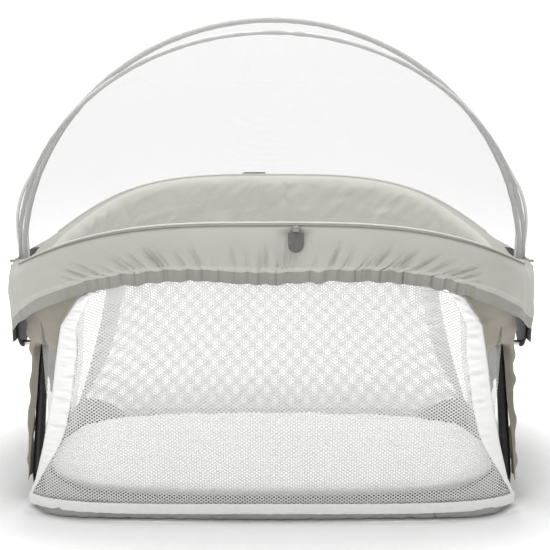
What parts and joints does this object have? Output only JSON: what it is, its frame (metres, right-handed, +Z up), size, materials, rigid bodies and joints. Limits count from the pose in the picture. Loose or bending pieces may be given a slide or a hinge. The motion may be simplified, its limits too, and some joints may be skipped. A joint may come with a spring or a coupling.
{
  "type": "travel play yard",
  "caption": "Portable folding infant play yard with mesh walls, padded rim, floor mat and a zipped net dome on two hoops.",
  "frame": {"origin": "on the floor under the middle of the yard", "axes": "+Z up, -Y to the front with the hanging zip pull, +X to the right; the hub axis runs along X"},
  "size_m": [0.8132, 0.6698, 0.722],
  "materials": {
    "gray_fabric": "matt woven polyester",
    "taupe_fabric": "matt woven polyester",
    "white_mesh": "open polyester mesh",
    "dome_net": "sheer insect net",
    "mat_fabric": "soft brushed polyester",
    "foam": "open cell foam",
    "black_tube": "satin powder coat",
    "hoop_rod": "glass fibre rod",
    "steel": "zinc plated",
    "zip_metal": "satin",
    "tab_gray": "woven tape",
    "foot_rubber": "matt",
    "button_plastic": "fine texture",
    "black_plastic": "fine texture"
  },
  "bodies": {
    "root": {"hub_posts": "steel", "hub_screws": "steel", "left_hub_axle": "steel", "left_hub_inner_plate": "black_plastic", "left_hub_outer_cover": "black_plastic", "left_hub_skirt": "gray_fabric", "right_hub_axle": "steel", "right_hub_inner_plate": "black_plastic", "right_hub_outer_cover": "black_plastic", "right_hub_skirt": "gray_fabric"},
    "front_legs": {"front_leg_tube": "black_tube", "front_left_leg_knuckle": "black_plastic", "front_right_leg_knuckle": "black_plastic", "front_floor_bar_sleeve": "gray_fabric", "front_left_leg_sleeve": "taupe_fabric", "front_right_leg_sleeve": "taupe_fabric", "front_feet": "foot_rubber", "front_mesh_wall": "white_mesh", "left_mesh_wall": "white_mesh", "right_mesh_wall": "white_mesh", "floor_panel": "white_mesh"},
    "rear_legs": {"rear_leg_tube": "black_tube", "rear_left_leg_knuckle": "black_plastic", "rear_right_leg_knuckle": "black_plastic", "rear_floor_bar_sleeve": "gray_fabric", "rear_left_leg_sleeve": "taupe_fabric", "rear_right_leg_sleeve": "taupe_fabric", "rear_feet": "foot_rubber", "rear_mesh_wall": "white_mesh"},
    "front_rail": {"front_rail_tube": "black_tube", "front_left_rail_knuckle": "black_plastic", "front_right_rail_knuckle": "black_plastic", "front_rim_cover": "gray_fabric"},
    "rear_rail": {"rear_rail_tube": "black_tube", "rear_left_rail_knuckle": "black_plastic", "rear_right_rail_knuckle": "black_plastic", "rear_rim_cover": "gray_fabric"},
    "rear_hoop": {"rear_hoop_rod": "hoop_rod", "rear_left_hoop_knuckle": "black_plastic", "rear_right_hoop_knuckle": "black_plastic", "rear_dome_net": "dome_net", "centre_dome_net": "dome_net"},
    "front_hoop": {"front_hoop_rod": "hoop_rod", "front_left_hoop_knuckle": "black_plastic", "front_right_hoop_knuckle": "black_plastic", "front_dome_net": "dome_net"},
    "mat": {"mat_cover": "mat_fabric", "mat_foam_core": "foam"},
    "left_button": {"left_release_button": "button_plastic", "left_lock_gear": "black_plastic", "left_button_spring": "steel"},
    "right_button": {"right_release_button": "button_plastic", "right_lock_gear": "black_plastic", "right_button_spring": "steel"},
    "front_slider": {"front_zip_slider": "zip_metal"},
    "front_pull": {"front_zip_pull": "tab_gray"},
    "rear_slider": {"rear_zip_slider": "zip_metal"},
    "rear_pull": {"rear_zip_pull": "tab_gray"}
  },
  "joints": [
    {"name": "front_legs_fold", "type": "hinge", "parent": "root", "child": "front_legs", "pos_m": [0, 0, 0.285], "axis": [1, 0, 0], "range_deg": [0, 18], "deforming": ["centre_dome_net", "floor_panel", "front_dome_net", "front_mesh_wall", "front_rim_cover", "left_hub_skirt", "left_mesh_wall", "rear_dome_net", "rear_mesh_wall", "rear_rim_cover", "right_hub_skirt", "right_mesh_wall", "mat_cover", "mat_foam_core"]},
    {"name": "rear_legs_fold", "type": "hinge", "parent": "front_legs", "child": "rear_legs", "pos_m": [0, 0, 0.285], "axis": [-1, 0, 0], "range_deg": [0, 36]},
    {"name": "front_rail_fold", "type": "hinge", "parent": "front_legs", "child": "front_rail", "pos_m": [0, 0, 0.285], "axis": [1, 0, 0], "range_deg": [0, 66]},
    {"name": "rear_rail_fold", "type": "hinge", "parent": "rear_legs", "child": "rear_rail", "pos_m": [0, 0, 0.285], "axis": [-1, 0, 0], "range_deg": [0, 66]},
    {"name": "rear_hoop_fold", "type": "hinge", "parent": "rear_rail", "child": "rear_hoop", "pos_m": [0, 0, 0.285], "axis": [-1, 0, 0], "range_deg": [0, 42], "deforming": ["centre_dome_net", "floor_panel", "front_dome_net", "front_mesh_wall", "front_rim_cover", "left_hub_skirt", "left_mesh_wall", "rear_dome_net", "rear_mesh_wall", "rear_rim_cover", "right_hub_skirt", "right_mesh_wall", "mat_cover", "mat_foam_core"]},
    {"name": "front_hoop_fold", "type": "hinge", "parent": "rear_hoop", "child": "front_hoop", "pos_m": [0, 0, 0.285], "axis": [-1, 0, 0], "range_deg": [0, 16], "deforming": ["centre_dome_net", "floor_panel", "front_dome_net", "front_mesh_wall", "front_rim_cover", "left_hub_skirt", "left_mesh_wall", "rear_dome_net", "rear_mesh_wall", "rear_rim_cover", "right_hub_skirt", "right_mesh_wall", "mat_cover", "mat_foam_core"]},
    {"name": "mat_lift", "type": "slide", "parent": "root", "child": "mat", "axis": [0, 0, 1], "range_m": [0, 0.2]},
    {"name": "left_button_press", "type": "slide", "parent": "root", "child": "left_button", "axis": [1, 0, 0], "range_m": [0, 0.004], "stiffness_N_per_m": 800, "springref_m": -0.003, "deforming": ["left_button_spring"]},
    {"name": "right_button_press", "type": "slide", "parent": "root", "child": "right_button", "axis": [-1, 0, 0], "range_m": [0, 0.004], "stiffness_N_per_m": 800, "springref_m": -0.003, "deforming": ["right_button_spring"]},
    {"name": "front_zip_slide", "type": "slide", "parent": "front_rail", "child": "front_slider", "axis": [1, 0, 0], "range_m": [-0.09, 0.03]},
    {"name": "front_pull_swing", "type": "hinge", "parent": "front_slider", "child": "front_pull", "pos_m": [0.032, -0.3332, 0.4355], "axis": [-1, 0, 0], "range_deg": [0, 110]},
    {"name": "rear_zip_slide", "type": "slide", "parent": "rear_rail", "child": "rear_slider", "axis": [1, 0, 0], "range_m": [-0.03, 0.08]},
    {"name": "rear_pull_swing", "type": "hinge", "parent": "rear_slider", "child": "rear_pull", "pos_m": [-0.016, 0.3332, 0.443], "axis": [0, 0, -1], "range_deg": [0, 80]}
  ],
  "couplings": [
    {"joint": "rear_legs_fold", "follows": "front_legs_fold", "ratio": 2},
    {"joint": "front_rail_fold", "follows": "front_legs_fold", "ratio": 3.6667},
    {"joint": "rear_rail_fold", "follows": "front_legs_fold", "ratio": 3.6667}
  ]
}
